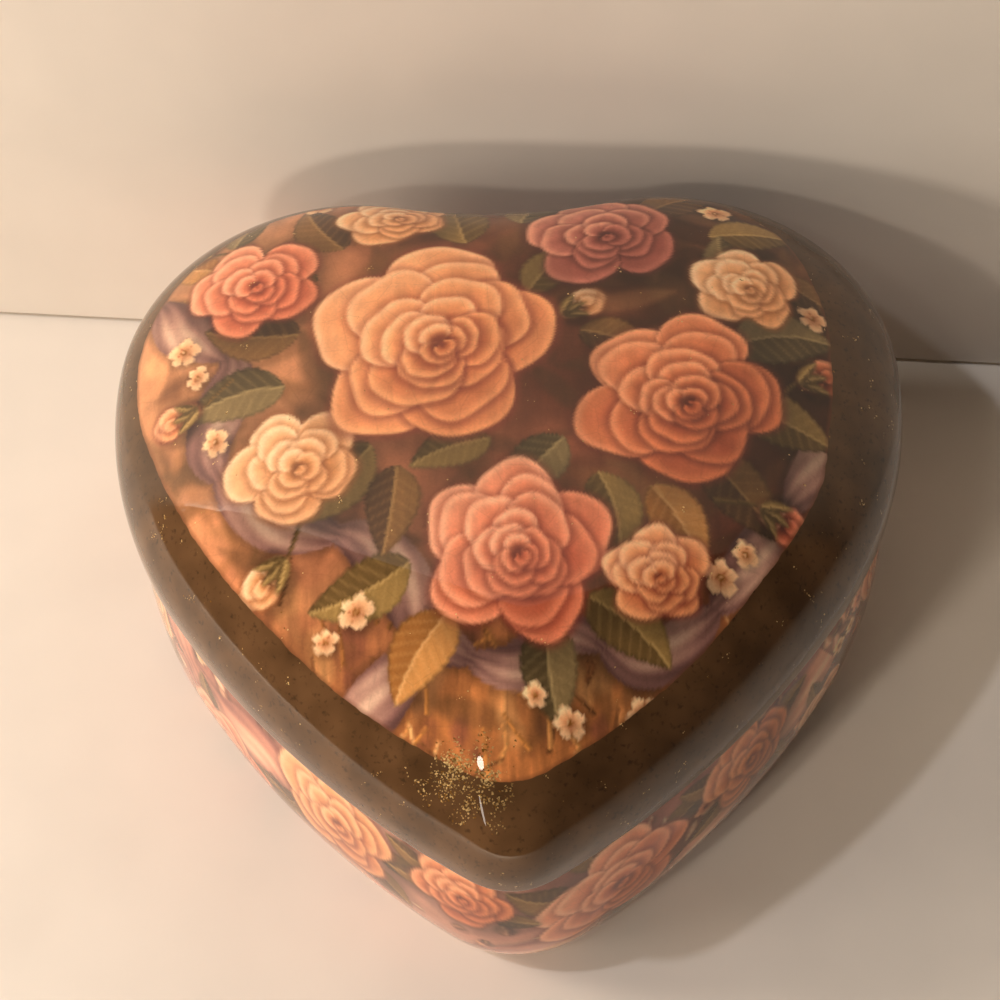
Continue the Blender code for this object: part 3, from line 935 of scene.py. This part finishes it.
def printInk(tree, place, edge, look):
    # A fine uneven grain as of worn ink, 0.45 mm across and drawn coarse enough to show, faint
    # cracks every 6.5 mm and a darker line along the print's cut edge
    dabs = addNode(tree, "Attribute", attribute_name="print").outputs["Color"]
    grain = mottling(tree, place, 0.45, 2.0, Roughness=0.6)
    ink = stretch(tree, dabs, spread(tree, grain, 0.3, 0.7, 0.93, 1.06))
    cells = addNode(tree, "TexVoronoi", {"Vector": place, "Scale": fineScale(6.5)},
                    feature="DISTANCE_TO_EDGE").outputs[0]
    crack = spread(tree, cells, 0.0, 0.022, look["craze"], 0.0)
    ink = blend(tree, crack, ink, linear(crazeColour))
    return blend(tree, spread(tree, edge, 0.10, 0.75, 0.55, 0.0), ink, linear(look["edgeLine"]))


def giltFlecks(tree, place, printed, look):
    # Gold flecks 0.2 mm across, sparse in the band and gathered near the tip round the lamp's highlight,
    # where their bright tones are painted glints. Each has its own tone and leans its own way,
    # so that a few catch a lamp
    flakes = addNode(tree, "TexVoronoi", {"Vector": place, "Scale": fineScale(0.23)}).outputs["Color"]
    chance = addNode(tree, "SeparateColor", {"Color": flakes}).outputs
    lifted = reckon(tree, "MULTIPLY_ADD", mottling(tree, place, 2.6, 3.0), 1.5, chance[0])
    # Painted glints: the flecks crowd round the spot near the tip where the lamp's highlight falls
    fromTip = addNode(tree, "VectorMath", {0: place, 1: look["giltGlintCentre"]}, operation="DISTANCE").outputs[1]
    lifted = reckon(tree, "ADD", lifted, spread(tree, fromTip, 1.0 * mm, 9.5 * mm, 0.64, 0.0))
    lifted = reckon(tree, "MULTIPLY_ADD", printed, -0.05, lifted)
    giltGlint = spread(tree, lifted, look["giltShare"] + 0.75, look["giltShare"] + 0.80)
    # Each fleck's share between dull and bright gold; the bright ones are painted glints
    glintShare = spread(tree, chance[1], 0.15, 0.95)
    golds = blend(tree, glintShare, linear(look["giltDull"]), linear(look["giltGlint"]))
    lean = addNode(tree, "VectorMath", {0: flakes, 1: (0.5, 0.5, 0.5)}, operation="SUBTRACT").outputs[0]
    leaning = stretch(tree, lean, reckon(tree, "MULTIPLY", giltGlint, 0.75))
    upright = addNode(tree, "NewGeometry").outputs["Normal"]
    leaning = addNode(tree, "VectorMath", {0: leaning, 1: upright}, operation="ADD").outputs[0]
    return giltGlint, golds, addNode(tree, "VectorMath", {0: leaning}, operation="NORMALIZE").outputs[0]


def wetSkin(tree, place):
    # Ripples 11 mm long, orange peel under 2 mm and a nib every centimetre or so
    nibs = addNode(tree, "TexVoronoi", {"Vector": place, "Scale": fineScale(7.5)}).outputs["Distance"]
    nib = spread(tree, nibs, 0.0, 0.06, 1.0, 0.0, "SMOOTHSTEP")
    ripple, peel = mottling(tree, place, 11.0, 0.0), mottling(tree, place, 1.6, 0.0)
    relief = reckon(tree, "MULTIPLY_ADD", peel, 0.055, ripple)
    relief = reckon(tree, "MULTIPLY_ADD", nib, 0.64, relief)
    return addNode(tree, "Bump", {"Height": relief, "Distance": 0.055 * mm}).outputs[0]


def printedGlaze(name, look):
    # Transfer-printed earthenware, fired under a thick clear glaze: deep colour seen through a wet,
    # slightly rippled skin with pinhead nibs, and here and there a gold fleck that catches a lamp;
    # the flecks' bright tones round the lamp's highlight near the tip are painted glints
    material = bpy.data.materials.new(name)
    material.use_nodes = True
    tree = material.node_tree
    tree.nodes.clear()
    place = addNode(tree, "TexCoord").outputs["Object"]
    edge = addNode(tree, "Attribute", attribute_name="printEdge").outputs["Fac"]
    # The print's cut edge wavers by about 0.1 mm
    wavered = reckon(tree, "MULTIPLY_ADD", mottling(tree, place, 2.2, 1.0), 0.45, edge)
    printed = spread(tree, wavered, 0.15, 0.31, curve="SMOOTHSTEP")
    colour = blend(tree, printed, bareGlaze(tree, place, look), printInk(tree, place, edge, look))
    giltGlint, golds, tilt = giltFlecks(tree, place, printed, look)
    shader = addNode(tree, "BsdfPrincipled", {
        "Base Color": blend(tree, giltGlint, colour, golds), "Metallic": reckon(tree, "MULTIPLY", giltGlint, 0.4),
        "Roughness": spread(tree, giltGlint, 0.0, 1.0, 0.55, 0.30), "IOR": 1.45, "Specular IOR Level": 0.12,
        "Normal": tilt, "Coat Weight": 1.0, "Coat Roughness": 0.018, "Coat IOR": 1.52,
        "Coat Normal": wetSkin(tree, place)})
    addNode(tree, "OutputMaterial", {"Surface": shader.outputs[0]})
    return material


for shape, node, slot, look in ((lidShape, "lid", "lid_glaze", lidGlazeLook),
                                (bodyShape, "box_body", "body_glaze", bodyGlazeLook)):
    piece = shape["piece"]
    piece.data.materials.append(printedGlaze(slot.split("_")[0] + "GlazedEarthenware", look))
    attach(piece, "root")
    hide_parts(node)
print("glazes made")


# The pale sheet that the box stands on, and a pale board close behind it with a narrow gap at its foot
stageSizes = {
    "half": 1500.0,
    "boardLeft": (-103.2, 80.1),
    "boardRight": (94.7, 60.8),
    "boardHeight": 600.0,
    "boardFoot": ((3.0, 0.7), (0.6, 0.7), (0.25, 0.8), (0.05, 1.05), (0.0, 1.4)),
}


def buildStage():
    half = stageSizes["half"]
    (x0, y0), (x1, y1) = stageSizes["boardLeft"], stageSizes["boardRight"]
    slope = (y1 - y0) / (x1 - x0)
    left, right = (-half, y0 + slope * (-half - x0)), (half, y1 + slope * (half - x1))
    board = stageSizes["boardFoot"] + ((0.0, stageSizes["boardHeight"]),)
    floorPoints = [(-half, -half, 0), (half, -half, 0), (half, half, 0), (-half, half, 0)]
    boardPoints = [(x, y + back, z) for back, z in board for x, y in (left, right)]
    boardFaces = [(2 * k, 2 * k + 1, 2 * k + 3, 2 * k + 2) for k in range(len(board) - 1)]
    for name, points, faces, colour in (("stageFloor", floorPoints, [(0, 1, 2, 3)], "#eee6d9"),
                                        ("stageBoard", boardPoints, boardFaces, "#ebe2d4")):
        mesh = bpy.data.meshes.new(name)
        mesh.from_pydata([tuple(c * mm for c in point) for point in points], [], faces)
        # Matt painted card, faintly uneven in tone
        material = bpy.data.materials.new(name)
        material.use_nodes = True
        tree = material.node_tree
        shader = tree.nodes["Principled BSDF"]
        shader.inputs["Roughness"].default_value = 0.65
        patch = mottling(tree, addNode(tree, "TexCoord").outputs["Object"], 28.0, 2.0)
        tint = stretch(tree, linear(colour)[:3], spread(tree, patch, 0.3, 0.7, 0.965, 1.025))
        tree.links.new(tint, shader.inputs["Base Color"])
        if name == "stageBoard":
            # A set wall is open from behind, so the box can be looked at from there too
            behind = addNode(tree, "NewGeometry").outputs["Backfacing"]
            clear = addNode(tree, "BsdfTransparent").outputs[0]
            wall = addNode(tree, "MixShader", {0: behind, 1: shader.outputs[0], 2: clear}).outputs[0]
            tree.links.new(wall, tree.nodes["Material Output"].inputs["Surface"])
        mesh.materials.append(material)
        sheet = bpy.data.objects.new(name, mesh)
        bpy.context.scene.collection.objects.link(sheet)


buildStage()


# Places in metres, sizes across in metres, power in watts. Only roomLamp and slitLamp show in the glaze,
# and the foreground light falls on the floor in front, whose reflection runs along the rim
lamps = {
    "farWindow": {"place": (-0.77, 0.14, 0.57), "size": 0.38, "power": 6.1},
    "highLamp": {"place": (-0.428, -0.139, 0.799), "size": 0.035, "power": 1.32, "colour": "#f6f6ff"},
    "middleLamp": {"place": (-0.411, -0.489, 0.501), "size": 0.05, "power": 0.78},
    "lowLamp": {"place": (-0.290, -0.400, 0.190), "size": 0.045, "power": 0.58},
    "nearFill": {"place": (-0.40, -0.12, 0.30), "size": 0.26, "power": 0.18},
    "leftLow": {"place": (-0.65, -0.22, 0.17), "size": 0.20, "power": 1.27},
    "foreground": {"place": (-0.20, -0.80, 0.75), "size": 0.40, "power": 3.6,
                   "aim": (-0.20, -0.80, 0), "spread": 66},
    "roomLamp": {"place": (-0.311, -0.390, 0.713), "size": 0.070, "power": 0.25, "mirrored": True},
    "slitLamp": {"place": (-0.364, -0.629, 0.480), "size": 0.028, "length": 0.26, "power": 0.15,
                 "mirrored": True, "roll": 25},
}
lampColour = "#fff1e4"
lampAim = (0, 0, 0.03)
roomStrength = 0.022


def addLamp(name, lamp):
    light = bpy.data.lights.new(name, "AREA")
    light.shape = "ELLIPSE"
    light.size = lamp["size"]
    light.size_y = lamp.get("length", lamp["size"])
    light.energy = lamp["power"]
    light.color = linear(lamp.get("colour", lampColour))[:3]
    made = bpy.data.objects.new(name, light)
    made.location = lamp["place"]
    light.spread = radians(lamp.get("spread", 180))
    turn = (Vector(lamp.get("aim", lampAim)) - Vector(lamp["place"])).to_track_quat("-Z", "Y")
    made.rotation_euler = (turn @ Quaternion((0, 0, 1), radians(lamp.get("roll", 0)))).to_euler()
    made.visible_glossy = lamp.get("mirrored", False)
    bpy.context.scene.collection.objects.link(made)


for name, lamp in lamps.items():
    addLamp(name, lamp)

world = bpy.data.worlds.new("room")
world.use_nodes = True
world.node_tree.nodes["Background"].inputs["Color"].default_value = linear(lampColour)
world.node_tree.nodes["Background"].inputs["Strength"].default_value = roomStrength
bpy.context.scene.world = world
bpy.context.scene.view_settings.view_transform = "Standard"


cameraFit = {"focalShare": 1.97418, "distance": 322.853, "right": 1.614, "up": -8.383,
             "elevation": 56.978, "azimuth": 2.5646, "roll": -3.5173, "aim": (0.0, 0.0, 35.0)}


def placeCamera():
    c = cameraFit
    el, az, roll = (radians(c[k]) for k in ("elevation", "azimuth", "roll"))
    forward = Vector((-cos(el) * sin(az), cos(el) * cos(az), -sin(el)))
    right = forward.cross(Vector((0, 0, 1))).normalized()
    up = right.cross(forward)
    rolledRight = right * cos(roll) + up * sin(roll)
    rolledUp = up * cos(roll) - right * sin(roll)
    place = Vector(c["aim"]) - forward * c["distance"] - rolledRight * c["right"] - rolledUp * c["up"]
    turn = Matrix((rolledRight, rolledUp, -forward)).transposed()
    data = bpy.data.cameras.new("camera")
    data.sensor_width = 36.0
    data.lens = 36.0 * c["focalShare"]
    data.clip_start = 0.01
    camera = bpy.data.objects.new("camera", data)
    camera.matrix_world = Matrix.Translation(place * mm) @ turn.to_4x4()
    bpy.context.scene.collection.objects.link(camera)
    bpy.context.scene.camera = camera


placeCamera()
print("stage, lights and camera set")
